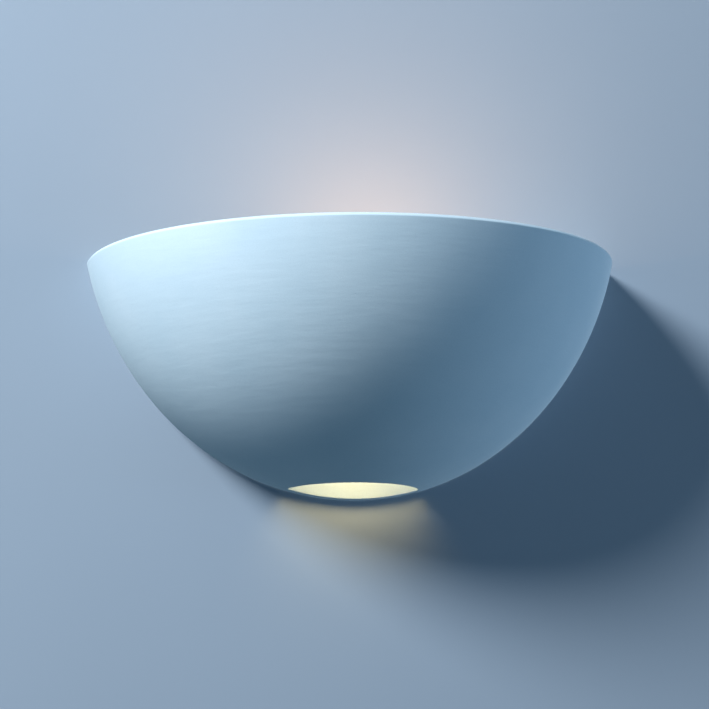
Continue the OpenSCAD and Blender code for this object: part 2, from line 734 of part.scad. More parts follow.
// ---- Lamp bracket ----

// A saddle over the two leads, whose two legs snap through the arm
module clip_legs(from_x, to_x, outward, room = 0) {
    for (side = [0, 1]) mirror([0, 0, side])
        translate([from_x, -clip_leg_w / 2 - room, clip_channel_w / 2 - room])
            cube([to_x - from_x, clip_leg_w + 2 * room, clip_leg_t + outward + 2 * room]);
}

module lead_clip() {
    half_w = clip_channel_w / 2 + clip_leg_t;
    color("#ece9e0") translate([0, -clip_y, lamp_z]) {
        difference() {
            translate([arm_face_x, -clip_l / 2, -half_w])
                cube([clip_channel_h + clip_leg_t, clip_l, 2 * half_w]);
            translate([arm_face_x - cut, -clip_l / 2 - cut, -clip_channel_w / 2])
                cube([clip_channel_h + cut, clip_l + 2 * cut, clip_channel_w]);
        }
        clip_legs(arm_x - 1.2, arm_face_x, 0);
        clip_legs(arm_x - 1.2, arm_x, 0.8);
    }
}

module lampholder_bracket() {
    color("#c9cccc") difference() {
        union() {
            translate([arm_x, -plate_t - strip_t, lamp_z - strip_w / 2]) cube([foot_l, strip_t, strip_w]);
            translate([arm_x, -lamp_y, lamp_z - strip_w / 2]) cube([strip_t, lamp_y - plate_t, strip_w]);
            translate([arm_x, -lamp_y, lamp_z]) rotate([0, 90, 0]) cylinder(d = strip_w, h = strip_t);
        }
        for (side = [-1, 1]) off_wall(plate_t - cut, plate_t + strip_t + cut)
            translate([strip_screw_x, lamp_z + side * strip_screw_z]) circle(r = screw_r + screw_clear);
        on_lamp_axis() for (side = [-1, 1])
            translate([side * holder_screw_a, -holder_screw_b, arm_x - cut])
            cylinder(r = holder_screw_r + screw_clear, h = strip_t + 2 * cut);
        translate([0, -clip_y, lamp_z]) clip_legs(arm_x - cut, arm_face_x + cut, 0, snug);
    }
}

module bracket_screws() {
    color("#aeb1b2") for (side = [-1, 1])
        pan_screw(strip_screw_x, lamp_z + side * strip_screw_z, plate_t + strip_t, 0.1);
}

// ---- Lampholder ----

module at_terminals() {
    for (side = [-1, 1]) translate([side * terminal_a, terminal_b, 0]) children();
}

module lampholder_body() {
    inner = bore_r;
    color("#f1efe8") on_lamp_axis() difference() {
        rotate_extrude() polygon([
            [0, arm_face_x], [holder_r, arm_face_x], [holder_r, floor_x - 2],
            [inner + holder_wall, floor_x], [inner + holder_wall, mouth_x - 1.5],
            [inner + holder_wall - 1.5, mouth_x], [inner, mouth_x], [inner, floor_x], [0, floor_x]]);
        at_terminals() {
            translate([-terminal_w / 2 - terminal_room, -terminal_w / 2 - terminal_room, arm_face_x - cut])
                cube([terminal_w + 2 * terminal_room, terminal_w + 2 * terminal_room, holder_hole_l + cut]);
            translate([0, 0, arm_face_x]) cylinder(r = rivet_r, h = holder_floor + cut);
            translate([0, 0, terminal_x]) rotate([-90, 0, 0]) cylinder(r = lead_r + 0.4, h = holder_r);
        }
        for (side = [-1, 1]) translate([side * holder_screw_a, -holder_screw_b, arm_face_x - cut])
            cylinder(r = holder_screw_r, h = holder_hole_l + cut);
    }
}

module lampholder_fixing_screws() {
    color("#aeb1b2") on_lamp_axis() for (side = [-1, 1])
        translate([side * holder_screw_a, -holder_screw_b, 0]) difference() {
            union() {
                translate([0, 0, arm_x]) cylinder(r = holder_screw_r, h = strip_t + holder_hole_l - 1);
                translate([0, 0, arm_x - 1.8]) cylinder(r = 3.2, h = 1.8);
            }
            translate([-4, -0.35, arm_x - 1.8 - cut]) cube([8, 0.7, cut + 0.8]);
        }
}

module lampholder_terminals() {
    color("#c8a253") on_lamp_axis() at_terminals() difference() {
        translate([-terminal_w / 2, -terminal_w / 2, terminal_end_x - terminal_l])
            cube([terminal_w, terminal_w, terminal_l]);
        translate([0, 0, terminal_x]) rotate([-90, 0, 0])
            translate([0, 0, -terminal_w]) cylinder(r = lead_r + 0.1, h = 2 * terminal_w);
        translate([0, 0, arm_face_x]) cylinder(r = pole_screw_r, h = terminal_x - arm_face_x);
    }
}

module lampholder_terminal_screws() {
    color("#b9bcbd") on_lamp_axis() at_terminals() difference() {
        translate([0, 0, arm_face_x + 0.4])
            cylinder(r = pole_screw_r, h = terminal_x - arm_face_x - lead_r - 0.5);
        translate([-2, -0.3, arm_face_x + 0.4 - cut]) cube([4, 0.6, cut + 0.6]);
    }
}

module lampholder_rivets() {
    color("#c8a253") on_lamp_axis() at_terminals() {
        translate([0, 0, terminal_end_x])
            cylinder(r = rivet_r, h = floor_x + strap_t - terminal_end_x);
        translate([0, 0, floor_x + strap_t]) cylinder(r = 1.9, h = 0.5);
    }
}

// A flat brass strip on the floor through a rivet, from radius r1 to r2, in the direction turn
module floor_strap(turn, r1, r2, w) {
    on_lamp_axis() rotate(turn) difference() {
        translate([r1, -w / 2, floor_x]) cube([r2 - r1, w, strap_t]);
        translate([rivet_from_axis, 0, floor_x - cut]) cylinder(r = rivet_r, h = strap_t + 2 * cut);
    }
}
module lampholder_shell_strap() {
    color("#c8a253") floor_strap(rivet_turn, rivet_from_axis - 3, shell_r - 0.2, 4.5);
}
module lampholder_contact_foot() {
    color("#c8a253") floor_strap(180 - rivet_turn, tongue_pivot, rivet_from_axis + 2.6, tongue_w);
}

// The springing part of the contact, bent up from the foot to just short of the lamp's tip
module lampholder_contact_tongue() {
    color("#c8a253") on_lamp_axis() rotate(180 - rivet_turn)
        translate([tongue_pivot, 0, floor_x + strap_t]) rotate([0, tongue_tilt, 0])
        translate([-tongue_l, -tongue_w / 2, -strap_t]) cube([tongue_l, tongue_w, strap_t]);
}

module lampholder_screw_shell() {
    thread = thread_rings(shell_thread_start_x, shell_thread_end_x, cap_r + thread_play, 1);
    mouth_r = cap_r + thread_play + thread_depth;
    color("#c8a253") on_lamp_axis() ring_body(concat(
        [plain_ring(shell_start_x, shell_r), plain_ring(shell_end_x, shell_r),
            plain_ring(shell_end_x, mouth_r)],
        reversed(thread),
        [plain_ring(shell_start_x, mouth_r)]));
}

// ---- Lamp ----

module lamp_tip_contact() {
    color("#b9bcbd") on_lamp_axis() rotate_extrude() polygon([
        [0, tip_x], [2.2, tip_x], [4, tip_x + tip_t / 2], [4.5, tip_x + tip_t], [0, tip_x + tip_t]]);
}

module lamp_insulator() {
    edge_x = cap_start_x - cap_lip;
    color("#2b2724") on_lamp_axis() rotate_extrude() polygon([
        [0, tip_x + tip_t], [5.5, tip_x + tip_t], [6.5, tip_x + 1.8], [cap_inner_r - 1, edge_x - 0.8],
        [cap_inner_r + 0.2, edge_x], [cap_inner_r - 0.2, edge_x], [cap_inner_r - 0.2, edge_x + 1.2],
        [0, edge_x + 1.2]]);
}

module lamp_cap() {
    root_r = cap_r - thread_depth;
    color("#c9c4b4") on_lamp_axis() ring_body(concat(
        [plain_ring(cap_start_x - cap_lip, root_r - 0.5)],
        thread_rings(cap_start_x, cap_end_x, cap_r, -1),
        [plain_ring(cap_end_x + 0.8, skirt_r - 0.1), plain_ring(skirt_end_x, skirt_r),
            plain_ring(skirt_end_x, skirt_r - 0.3), plain_ring(neck_x, skirt_r - 0.4),
            plain_ring(neck_x, cap_inner_r), plain_ring(cap_start_x - cap_lip, cap_inner_r)]));
}

// The glass's profile in front of a given inset: its neck, as a cubic, and then its ball
function neck_curve(inset) = let (
        r0 = neck_r - inset, r1 = lamp_r * sin(bulb_turn) - inset,
        x1 = bulb_x + lamp_r * cos(bulb_turn), l = x1 - neck_x, steps = 8,
        m0 = 0.02 * l, m1 = -l / tan(bulb_turn))
    [for (i = [0:steps - 1]) let (t = i / steps)
        [(2 * t * t * t - 3 * t * t + 1) * r0 + (t * t * t - 2 * t * t + t) * m0
            + (3 * t * t - 2 * t * t * t) * r1 + (t * t * t - t * t) * m1, neck_x + t * l]];
function ball_curve(inset) = let (steps = 16) [for (i = [0:steps])
    let (a = bulb_turn * (1 - i / steps), r = lamp_r - inset) [r * sin(a), bulb_x + r * cos(a)]];

module lamp_glass() {
    outside = concat(neck_curve(0), ball_curve(0));
    inside = concat(neck_curve(glass_t), ball_curve(glass_t));
    color("#fff1d6") on_lamp_axis() rotate_extrude() polygon(concat(outside, reversed(inside)));
}

module lamp_stem() {
    flare_r = neck_r - glass_t;
    color("#dfe9ea") on_lamp_axis() rotate_extrude($fn = 32) polygon([
        [0, neck_x], [flare_r, neck_x], [flare_r - 0.4, neck_x + 1.2],
        [stem_r + 1, neck_x + stem_flare_l - 4], [stem_r, neck_x + stem_flare_l],
        [stem_r, stem_head_x - stem_pinch - stem_pinch_l / 2],
        [stem_rod_r + 1, stem_head_x - stem_pinch + stem_pinch_l / 2],
        [stem_rod_r, stem_head_x - 2 * stem_button_l],
        [stem_button_r, stem_head_x - stem_button_l], [stem_button_r, stem_head_x],
        [0, stem_head_x + stem_button_r / 2]]);
}

// The filament's line at an angle round the axis
function on_filament(a) = [filament_r * cos(a), filament_r * sin(a), bulb_x];

// Two lead-in wires and three supports, each straight
module straight_wire(from, to) { tube([from, to], wire_r, 6, [0.3, 0.2, 1]); }
module lamp_support_wires() {
    color("#9a9c9c") on_lamp_axis() {
        for (a = [-filament_turn, filament_turn]) straight_wire(
            [lead_in_r * cos(a), lead_in_r * sin(a), stem_head_x - stem_pinch], on_filament(a));
        for (a = [-75, 0, 75]) straight_wire(
            [support_in_r * cos(a), support_in_r * sin(a), stem_head_x - stem_button_l / 2],
            on_filament(a));
    }
}

module lamp_filament() {
    arc = [for (i = [0:filament_steps]) let (a = filament_turn * (2 * i / filament_steps - 1))
        on_filament(a) + [0, 0, wire_r]];
    color("#f2c46a") on_lamp_axis() tube(arc, 0.5, 6, [0, 0, 1]);
}

ceramic_shade();
left_felt_pad();
right_felt_pad();
left_shade_stud();
right_shade_stud();
left_washer();
right_washer();
left_thumb_nut();
right_thumb_nut();
wall_plate();
reflector_cover();
cover_screws();
supply_grommet();
lead_bush();
terminal_block();
terminal_inserts();
terminal_screws();
terminal_block_screw();
earth_tag();
earth_screw();
earth_lead();
live_lead();
neutral_lead();
lead_clip();
lampholder_bracket();
bracket_screws();
lampholder_body();
lampholder_fixing_screws();
lampholder_screw_shell();
lampholder_shell_strap();
lampholder_contact_foot();
lampholder_contact_tongue();
lampholder_rivets();
lampholder_terminals();
lampholder_terminal_screws();
lamp_tip_contact();
lamp_insulator();
lamp_cap();
lamp_glass();
lamp_stem();
lamp_support_wires();
lamp_filament();
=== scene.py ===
# %% [markdown]
# # An uplighter wall sconce
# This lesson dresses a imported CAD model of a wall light: half a bowl of unglazed ceramic that
# hangs on a steel wall plate, with a lit screw-cap lamp lying across it. The CAD model gives
# every place and size, so each new piece is made straight where its CAD node is.

# %% Start: the CAD frame and Blender's modules
import math

import bmesh
import bpy
from mathutils import Matrix, Vector, noise


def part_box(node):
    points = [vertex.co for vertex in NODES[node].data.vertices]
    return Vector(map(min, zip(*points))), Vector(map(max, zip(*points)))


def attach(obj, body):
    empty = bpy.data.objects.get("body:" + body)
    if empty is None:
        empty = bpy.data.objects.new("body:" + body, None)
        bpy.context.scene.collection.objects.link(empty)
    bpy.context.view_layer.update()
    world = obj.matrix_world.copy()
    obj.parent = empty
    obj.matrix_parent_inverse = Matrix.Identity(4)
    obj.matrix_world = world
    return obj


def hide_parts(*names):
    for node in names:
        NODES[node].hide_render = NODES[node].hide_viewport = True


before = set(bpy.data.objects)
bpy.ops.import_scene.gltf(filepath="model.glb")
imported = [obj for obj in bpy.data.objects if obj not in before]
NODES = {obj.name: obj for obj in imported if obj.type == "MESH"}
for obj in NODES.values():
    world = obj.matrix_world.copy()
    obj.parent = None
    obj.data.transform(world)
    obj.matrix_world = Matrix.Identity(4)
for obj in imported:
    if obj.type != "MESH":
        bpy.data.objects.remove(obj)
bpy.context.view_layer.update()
scene = bpy.context.scene

# %% [markdown]
# ## Units and small helpers
# Blender works in metres, and a light fitting is drawn in millimetres. One helper turns a
# point in millimetres into a Blender vector, and one turns a bmesh into a finished piece.
# Shapes are turned, bevelled and extruded in bmesh, because each operator is then one readable
# step. Normals are recalculated once, after doubles are merged.

# %% Helpers for shapes
MM = 0.001
WELD = 1e-6  # points closer than this, in metres, are one point
CAD_WELD = 2e-6  # the same for CAD meshes, whose faces don't share their points
UPRIGHT = Matrix.Rotation(math.pi / 2, 4, "X")  # turns what is built upwards towards the room


def mm(x, y, z):
    return Vector((x, y, z)) * MM


def linked(name, data):
    """An object of a mesh, a curve, a lamp or a camera, put into the scene."""
    made = bpy.data.objects.new(name, data)
    scene.collection.objects.link(made)
    return made


def mesh_of(bm, name):
    """A mesh of a bmesh, with doubles merged and its faces turned outwards."""
    bmesh.ops.remove_doubles(bm, verts=bm.verts, dist=WELD)
    bmesh.ops.recalc_face_normals(bm, faces=bm.faces)
    mesh = bpy.data.meshes.new(name)
    bm.to_mesh(mesh)
    bm.free()
    return mesh


def finish_piece(name, bm, material, body, node, sharp=35):
    """A piece of a bmesh, smooth up to an angle, that rides on a body and stands for a node."""
    mesh = mesh_of(bm, name)
    for polygon in mesh.polygons:
        polygon.use_smooth = True
    mesh.set_sharp_from_angle(angle=math.radians(sharp))
    mesh.materials.append(material)
    piece = linked(name, mesh)
    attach(piece, body)
    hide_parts(node)
    return piece


def turned(profile, steps, angle=2 * math.pi, closed=False):
    """A profile of (radius, height) in mm, turned about Z from the +X side."""
    bm = bmesh.new()
    verts = [bm.verts.new(mm(r, 0, z)) for r, z in profile]
    pairs = list(zip(verts, verts[1:])) + ([(verts[-1], verts[0])] if closed else [])
    edges = [bm.edges.new(pair) for pair in pairs]
    bmesh.ops.spin(bm, geom=verts + edges, cent=(0, 0, 0), axis=(0, 0, 1), dvec=(0, 0, 0),
                   angle=angle, steps=steps, use_merge=angle == 2 * math.pi, use_duplicate=False)
    bmesh.ops.remove_doubles(bm, verts=bm.verts, dist=WELD)
    return bm


def round_edges(bm, edges, radius, segments=3):
    """Rounds some edges of a bmesh by a radius in mm."""
    bmesh.ops.bevel(bm, geom=list(edges), offset=radius * MM, offset_type="OFFSET",
                    affect="EDGES", segments=segments, profile=0.5, material=-1,
                    clamp_overlap=True)


def place(bm, matrix):
    bmesh.ops.transform(bm, matrix=matrix, verts=bm.verts)


def facing_room(x, z):
    """A matrix for a piece turned about Z: its axis then runs along Y at x and z in mm."""
    return Matrix.Translation(mm(x, 0, z)) @ UPRIGHT


# %% [markdown]
# ## Camera
# The photograph was taken from below and from the left of the fitting with a long lens. The
# camera's place and turn were found by fitting the rim, the outline and the light slot.

# %% Camera
def look(position, yaw, pitch, roll):
    """A camera matrix that looks along +Y, turned towards +X by yaw and up by pitch."""
    yaw, pitch, roll = (math.radians(angle) for angle in (yaw, pitch, roll))
    turn = (Matrix.Rotation(-yaw, 4, "Z") @ Matrix.Rotation(pitch, 4, "X") @ UPRIGHT
            @ Matrix.Rotation(roll, 4, "Z"))
    return Matrix.Translation(position) @ turn


camera = linked("camera", bpy.data.cameras.new("camera"))
camera.data.lens = 175.13
camera.data.sensor_width = 36
camera.data.clip_end = 50
camera.matrix_world = look(mm(-362, -2551, -427), 8.15, 9.55, -0.51)
scene.camera = camera
view = camera.matrix_world.to_3x3() @ Vector((0, 0, -1))
print("camera looks along", [round(v, 3) for v in view])

# %% [markdown]
# ## Materials: the helpers
# Colours are written as sRGB hex values, as they'd be picked from a picture, and one function
# turns them to the linear values that Blender computes with. One more function adds a shader
# node with its settings and links, so each material reads as a short list of steps. Most
# surfaces here start from a noise whose features have a real size.

# %% Helpers for materials
RAMP, BUMP = "ShaderNodeValToRGB", "ShaderNodeBump"


def linear(hexed):
    parts = [int(hexed[i:i + 2], 16) / 255 for i in (1, 3, 5)]
    return tuple(c / 12.92 if c <= 0.04045 else ((c + 0.055) / 1.055) ** 2.4 for c in parts) + (1,)


def grey(value):
    return (value, value, value, 1)


def per_mm(size):
    """Texture scale, in metres, for a pattern whose features are some mm across."""
    return 1 / (size * MM)


def add(tree, kind, settings=(), links=(), values=(), stops=(), into=None):
    """Adds a node, sets its settings, values and colour stops, and links both its ends."""
    made = tree.nodes.new(kind)
    for key, value in dict(settings).items():
        setattr(made, key, value)
    for key, value in dict(values).items():
        made.inputs[key].default_value = value
    for key, socket in dict(links).items():
        tree.links.new(socket, made.inputs[key])
    if stops:
        elements = made.color_ramp.elements
        for _ in stops[2:]:
            elements.new(0.5)
        for element, (position, colour) in zip(elements, stops):
            element.position, element.color = position, colour
    if into is not None:
        tree.links.new(made.outputs[0], into)
    return made


def new_material(name, **values):
    """A material with its Principled shader; values are set on the shader's own sockets."""
    material = bpy.data.materials.new(name)
    material.use_nodes = True
    shader = material.node_tree.nodes["Principled BSDF"]
    for key, value in values.items():
        shader.inputs[key.replace("_", " ")].default_value = value
    return material, material.node_tree, shader


def mottle(tree, size, detail=2, stretch=(1, 1, 1), rough=0.5):
    """A soft pattern on object coordinates, some mm across and squeezed along the axes."""
    coordinates = add(tree, "ShaderNodeTexCoord")
    mapped = add(tree, "ShaderNodeMapping", links={"Vector": coordinates.outputs["Object"]},
                 values={"Scale": stretch})
    pattern = add(tree, "ShaderNodeTexNoise", links={"Vector": mapped.outputs["Vector"]},
                  values={"Scale": per_mm(size), "Detail": detail, "Roughness": rough})
    return pattern.outputs["Fac"]


def seen_by(tree, *rays):
    """A factor that is 1 for the camera's rays and some others, and 0 for light that bounces."""
    path = add(tree, "ShaderNodeLightPath")
    factor = path.outputs["Is Camera Ray"]
    for ray in rays:
        either = add(tree, "ShaderNodeMath", {"operation": "MAXIMUM"},
                     links={0: factor, 1: path.outputs[ray]})
        factor = either.outputs[0]
    return factor


# %% [markdown]
# ## Bisque ceramic
# The bowl is slip-cast earthenware, fired once and left unglazed, so it is matt and slightly
# open, with a fine sandy grain, faint clouds where the casting dried unevenly, level marks left
# by the sponge that wiped it, and a few tiny pits. Noises make the clouds, the grain and the
# sponge marks, which are stretched round the bowl, and a Voronoi pattern makes the pits. The
# grain of real bisque is about 0.1 mm, too fine to show, so it is drawn at 0.7 mm.

# %% Bisque ceramic
bisque, tree, shader = new_material("bisque_ceramic", Roughness=0.9, IOR=1.5,
                                    Specular_IOR_Level=0.28)
clouds = mottle(tree, 45, detail=3)
grain = mottle(tree, 0.7, rough=0.6)
wipes = mottle(tree, 26, stretch=(1, 1, 6))
body_colour = add(tree, RAMP, links={"Fac": clouds},
                  stops=[(0.3, linear("#D4E5EE")), (0.7, linear("#DAE9F1"))])
fleck = add(tree, RAMP, links={"Fac": grain}, stops=[(0.25, grey(0.93)), (0.55, grey(1.0))])
flecked = add(tree, "ShaderNodeMix", {"data_type": "RGBA", "blend_type": "MULTIPLY"},
              links={"A": body_colour.outputs["Color"], "B": fleck.outputs["Color"]},
              values={"Factor": 0.8})
tree.links.new(flecked.outputs["Result"], shader.inputs["Base Color"])
coordinates = add(tree, "ShaderNodeTexCoord")
pits = add(tree, "ShaderNodeTexVoronoi", links={"Vector": coordinates.outputs["Object"]},
           values={"Scale": per_mm(9), "Randomness": 1.0})
pit_depth = add(tree, RAMP, links={"Fac": pits.outputs["Distance"]},
                stops=[(0.0, grey(0)), (0.05, grey(1))])
layers = [(clouds, 0.25, 0.4), (wipes, 0.15, 0.8), (grain, 0.05, 0.7),
          (pit_depth.outputs["Color"], 0.12, 0.8)]  # height, depth in mm, strength
under = {}
for height, depth, strength in layers:
    layer = add(tree, BUMP, links={"Height": height, **under}, into=shader.inputs["Normal"],
                values={"Distance": depth * MM, "Strength": strength})
    under = {"Normal": layer.outputs["Normal"]}
print("bisque has", len(tree.nodes), "shader nodes")

# %% [markdown]
# ## The bowl
# The real shade is slip-cast in one piece: half a bowl with a flange at its back that lies
# against the wall, a window in that flange, two lugs for the studs and a half-round light slot
# in its bottom. Its wall is a body of revolution, so its section is turned through half a
# turn, with the small outward bevel that a wet sponge leaves on the rim and that catches the
# light. The edges of the bevel and of the slot are then rounded.

# %% The bowl's section
BOWL_R, BOWL_H, RIM_Z, RISE = 200, 180, 75, 49  # RISE: the ellipse's centre above the rim
WALL, SLOT_R, FLANGE = 7, 50, 8
RIM_BEVEL, RIM_BAND = 2, 6  # how far below the rim the bevel ends and the even steps start
ELLIPSE_H = BOWL_H + RISE
ELLIPSE_W = BOWL_R / math.sqrt(1 - (RISE / ELLIPSE_H) ** 2)


def on_ellipse(w, h, angles):
    """Points (radius, height) on an ellipse about the bowl's centre."""
    return [(w * math.cos(a), RIM_Z + RISE - h * math.sin(a)) for a in angles]


def wall_line(inset, start, count=56):
    """Points down the wall, from a depth below the rim to the slot's edge."""
    w, h = ELLIPSE_W - inset, ELLIPSE_H - inset
    first = math.asin((RISE + start) / h)
    last = math.acos(SLOT_R / w)
    return on_ellipse(w, h, [first + (last - first) * i / count for i in range(count + 1)])


outside = [(BOWL_R - RIM_BEVEL, RIM_Z), wall_line(0, RIM_BEVEL)[0]] + wall_line(0, RIM_BAND)
inside = [wall_line(WALL, 0)[0]] + wall_line(WALL, RIM_BAND)
print("section points:", len(outside), "outside,", len(inside), "inside")

# %% The bowl's wall
NEAR = 0.02  # points this near to a ring or a plane, in mm, lie on it


def ring_edges(bm, radius, height):
    """Edges that lie on a ring of a radius and height in mm about Z."""
    def on_ring(v):
        return (abs(v.co.z / MM - height) < NEAR
                and abs(math.hypot(v.co.x, v.co.y) / MM - radius) < NEAR)
    return [e for e in bm.edges if on_ring(e.verts[0]) and on_ring(e.verts[1])]


bowl = turned(outside + inside[::-1], steps=180, angle=-math.pi, closed=True)
for corner, rounding in ((outside[0], 0.7), (outside[1], 0.7), (inside[0], 2.0),
                         (outside[-1], 1.0), (inside[-1], 0.8)):
    round_edges(bowl, ring_edges(bowl, *corner), rounding, segments=4)
bmesh.ops.holes_fill(bowl, edges=[e for e in bowl.edges if e.is_boundary], sides=0)
print("bowl faces:", len(bowl.faces))

# %% [markdown]
# ## The flange
# The flange is a flat U with two lugs, so its outline is drawn once as a closed line of points,
# pushed out to its thickness and rounded round its front. The recesses for the plate's wings and
# the stud holes are cut with solid cutters, as they'd be pared and drilled in leather-hard clay,
# and the hole's cutter is flared, so that it leaves a soft edge. A union then makes one casting
# of the wall and the flange.

# %% Solids for cutting and joining
def combine(base, other, operation):
    """Joins or cuts the base object with another one, which is then deleted."""
    modifier = base.modifiers.new("combine", "BOOLEAN")
    modifier.operation, modifier.solver, modifier.object = operation, "EXACT", other
    bpy.context.view_layer.update()
    evaluated = base.evaluated_get(bpy.context.evaluated_depsgraph_get())
    result = bpy.data.meshes.new_from_object(evaluated)
    base.modifiers.clear()
    base.data = result
    bpy.data.objects.remove(other)


def cut(base, bm):
    combine(base, linked("cutter", mesh_of(bm, "cutter")), "DIFFERENCE")


def prism(outline, y_front, y_back):
    """A bmesh prism along Y over a closed outline of (x, z) points in mm."""
    bm = bmesh.new()
    face = bm.faces.new([bm.verts.new(mm(x, y_front, z)) for x, z in outline])
    pushed = bmesh.ops.extrude_face_region(bm, geom=[face])["geom"]
    bmesh.ops.translate(bm, vec=mm(0, y_back - y_front, 0),
                        verts=[g for g in pushed if isinstance(g, bmesh.types.BMVert)])
    return bm


def arc(x, z, radius, start, end, count=48):
    """Points (x, z) round a centre in mm, from one angle to another in radians."""
    angles = [start + (end - start) * i / count for i in range(count + 1)]
    return [(x + radius * math.cos(a), z + radius * math.sin(a)) for a in angles]


def both_sides(line):
    """A line from the right rim to the middle, carried on to the left by its mirror image."""
    return line + [(-x, z) for x, z in line[-2::-1]]


# %% The flange's outline
STUD_X, STUD_Z, LUG_R = 166.4926, 32, 14
OUTER_EDGE, INNER_EDGE = (1.9, 0.2), (14, 20)  # insets from the bowl's outline, across and up
FLANGE_TOP = 0.6  # how far the flange stays below the rim
FLANGE_BACK = 0.05  # its back is a hair in front of the wall's, so that no two faces coincide
FRONT_ROUNDING = 0.8


def line_down(w_inset, h_inset, count=72):
    """Points of an ellipse inside the bowl's outline, from the right rim to the middle."""
    w, h = ELLIPSE_W - w_inset, ELLIPSE_H - h_inset
    first = math.asin((RISE + FLANGE_TOP) / h)
    return on_ellipse(w, h, [first + (math.pi / 2 - first) * i / count for i in range(count + 1)])


def with_lug(line):
    """The line, led round the inner side of the right lug where it would run through it."""
    def beyond(point):
        return math.hypot(point[0] - STUD_X, point[1] - STUD_Z) - LUG_R

    def crossing(outer, inner):
        part = beyond(outer) / (beyond(outer) - beyond(inner))
        x, z = (a + (b - a) * part for a, b in zip(outer, inner))
        return math.atan2(z - STUD_Z, x - STUD_X)

    within = [i for i, point in enumerate(line) if beyond(point) < 0]
    before, after = line[:within[0]], line[within[-1] + 1:]
    top, bottom = crossing(before[-1], line[within[0]]), crossing(after[0], line[within[-1]])
    return before + arc(STUD_X, STUD_Z, LUG_R, top, bottom + 2 * math.pi) + after


outline = (both_sides(line_down(*OUTER_EDGE))
           + both_sides(with_lug(line_down(*INNER_EDGE)))[::-1])
flange_bm = prism(outline, -FLANGE, -FLANGE_BACK)
front = [e for e in flange_bm.edges if all(abs(v.co.y / MM + FLANGE) < NEAR for v in e.verts)]
round_edges(flange_bm, front, FRONT_ROUNDING)
print("flange outline points:", len(outline))

# %% Recesses and stud holes
STUD_HOLE_R, HOLE_EASE = 3.55, 0.8
MOUTH_R, MOUTH_Y = STUD_HOLE_R + 1.05, FLANGE + 0.067  # where the flare ends, clear of the clay
WING_R, RECESS_DEPTH, RECESS_END = 11.5, 3, 120
CLEAR = 1  # how far a cutter stands out of the clay
flare = [(STUD_HOLE_R + HOLE_EASE * (1 - math.cos(a)), FLANGE - HOLE_EASE * (1 - math.sin(a)))
         for a in (0, math.pi / 6, math.pi / 3)]
drill = ([(0, -CLEAR), (STUD_HOLE_R, -CLEAR)] + flare
         + [(MOUTH_R, MOUTH_Y), (MOUTH_R, FLANGE + CLEAR), (0, FLANGE + CLEAR)])
wing = (arc(STUD_X, STUD_Z, WING_R, -math.pi / 2, math.pi / 2)
        + [(RECESS_END, STUD_Z + WING_R), (RECESS_END, STUD_Z - WING_R)])
flange = linked("flange", mesh_of(flange_bm, "flange"))
for side in (-1, 1):
    cut(flange, prism([(side * x, z) for x, z in wing], -RECESS_DEPTH, CLEAR))
    hole = turned(drill, 64)
    place(hole, facing_room(side * STUD_X, STUD_Z))
    cut(flange, hole)
print("flange faces:", len(flange.data.polygons))

# %% The whole casting
casting = linked("casting", mesh_of(bowl, "casting"))
combine(casting, flange, "UNION")
shade_bm = bmesh.new()
shade_bm.from_mesh(casting.data)
bpy.data.objects.remove(casting)
shade = finish_piece("shade", shade_bm, bisque, "root", "ceramic_shade", sharp=40)
shade.modifiers.new("flat", "WEIGHTED_NORMAL").keep_sharp = True
print("shade triangles:", sum(len(p.vertices) - 2 for p in shade.data.polygons))

# %% [markdown]
# ## Metals
# Zinc plate is a satin grey with a faint blue cast, rolled aluminium has long fine lines, and
# turned brass has rings round its axis. A metal's colour is its reflection, so each keeps the
# default IOR with Metallic at 1, and the pattern goes into roughness and a shallow bump.

# %% Metals
def metal(name, colour, roughness, spread, size, stretch=(1, 1, 1), depth=0.01, tint=None):
    """A metal whose roughness varies with a noise of some mm, and whose colour drifts."""
    material, tree, shader = new_material(name, Metallic=1.0)
    fine = mottle(tree, size, detail=3, stretch=stretch, rough=0.6)
    broad = mottle(tree, 18)
    add(tree, RAMP, links={"Fac": broad}, into=shader.inputs["Base Color"],
        stops=[(0.3, linear(colour)), (0.75, linear(tint or colour))])
    add(tree, RAMP, links={"Fac": fine}, into=shader.inputs["Roughness"],
        stops=[(0.25, grey(roughness - spread)), (0.75, grey(roughness + spread))])
    add(tree, BUMP, links={"Height": fine}, into=shader.inputs["Normal"],
        values={"Distance": depth * MM, "Strength": 0.6})
    return material


zinc = metal("zinc_plated_steel", "#B9BEC2", 0.38, 0.1, 1.6, tint="#C6C8C3")
aluminium = metal("rolled_aluminium", "#D4D7D9", 0.36, 0.05, 1.2, stretch=(0.01, 1, 1),
                  depth=0.004, tint="#DADCDC")
brass = metal("turned_brass", "#C9A25A", 0.27, 0.08, 0.5, stretch=(1, 0.3, 1), tint="#BD9450")
nickel = metal("nickel_plated_brass", "#C9C2B0", 0.22, 0.05, 0.8, tint="#D2CDBE")
tinned = metal("tinned_copper", "#C3C6C6", 0.33, 0.08, 0.8)
tungsten = metal("tungsten_wire", "#8E8A84", 0.4, 0.05, 0.3)
print("metals:", [m.name for m in (zinc, aluminium, brass, nickel, tinned, tungsten)])

# %% [markdown]
# ## Plastics, rubber, porcelain and glass
# Moulded nylon and PVC are smooth with a faint orange-peel, natural rubber is matt, and the
# lampholder's porcelain has a clear glaze over a white body. The lamp's glass is opal: a milky
# skin inside a clear bulb, which glows evenly when it is lit.

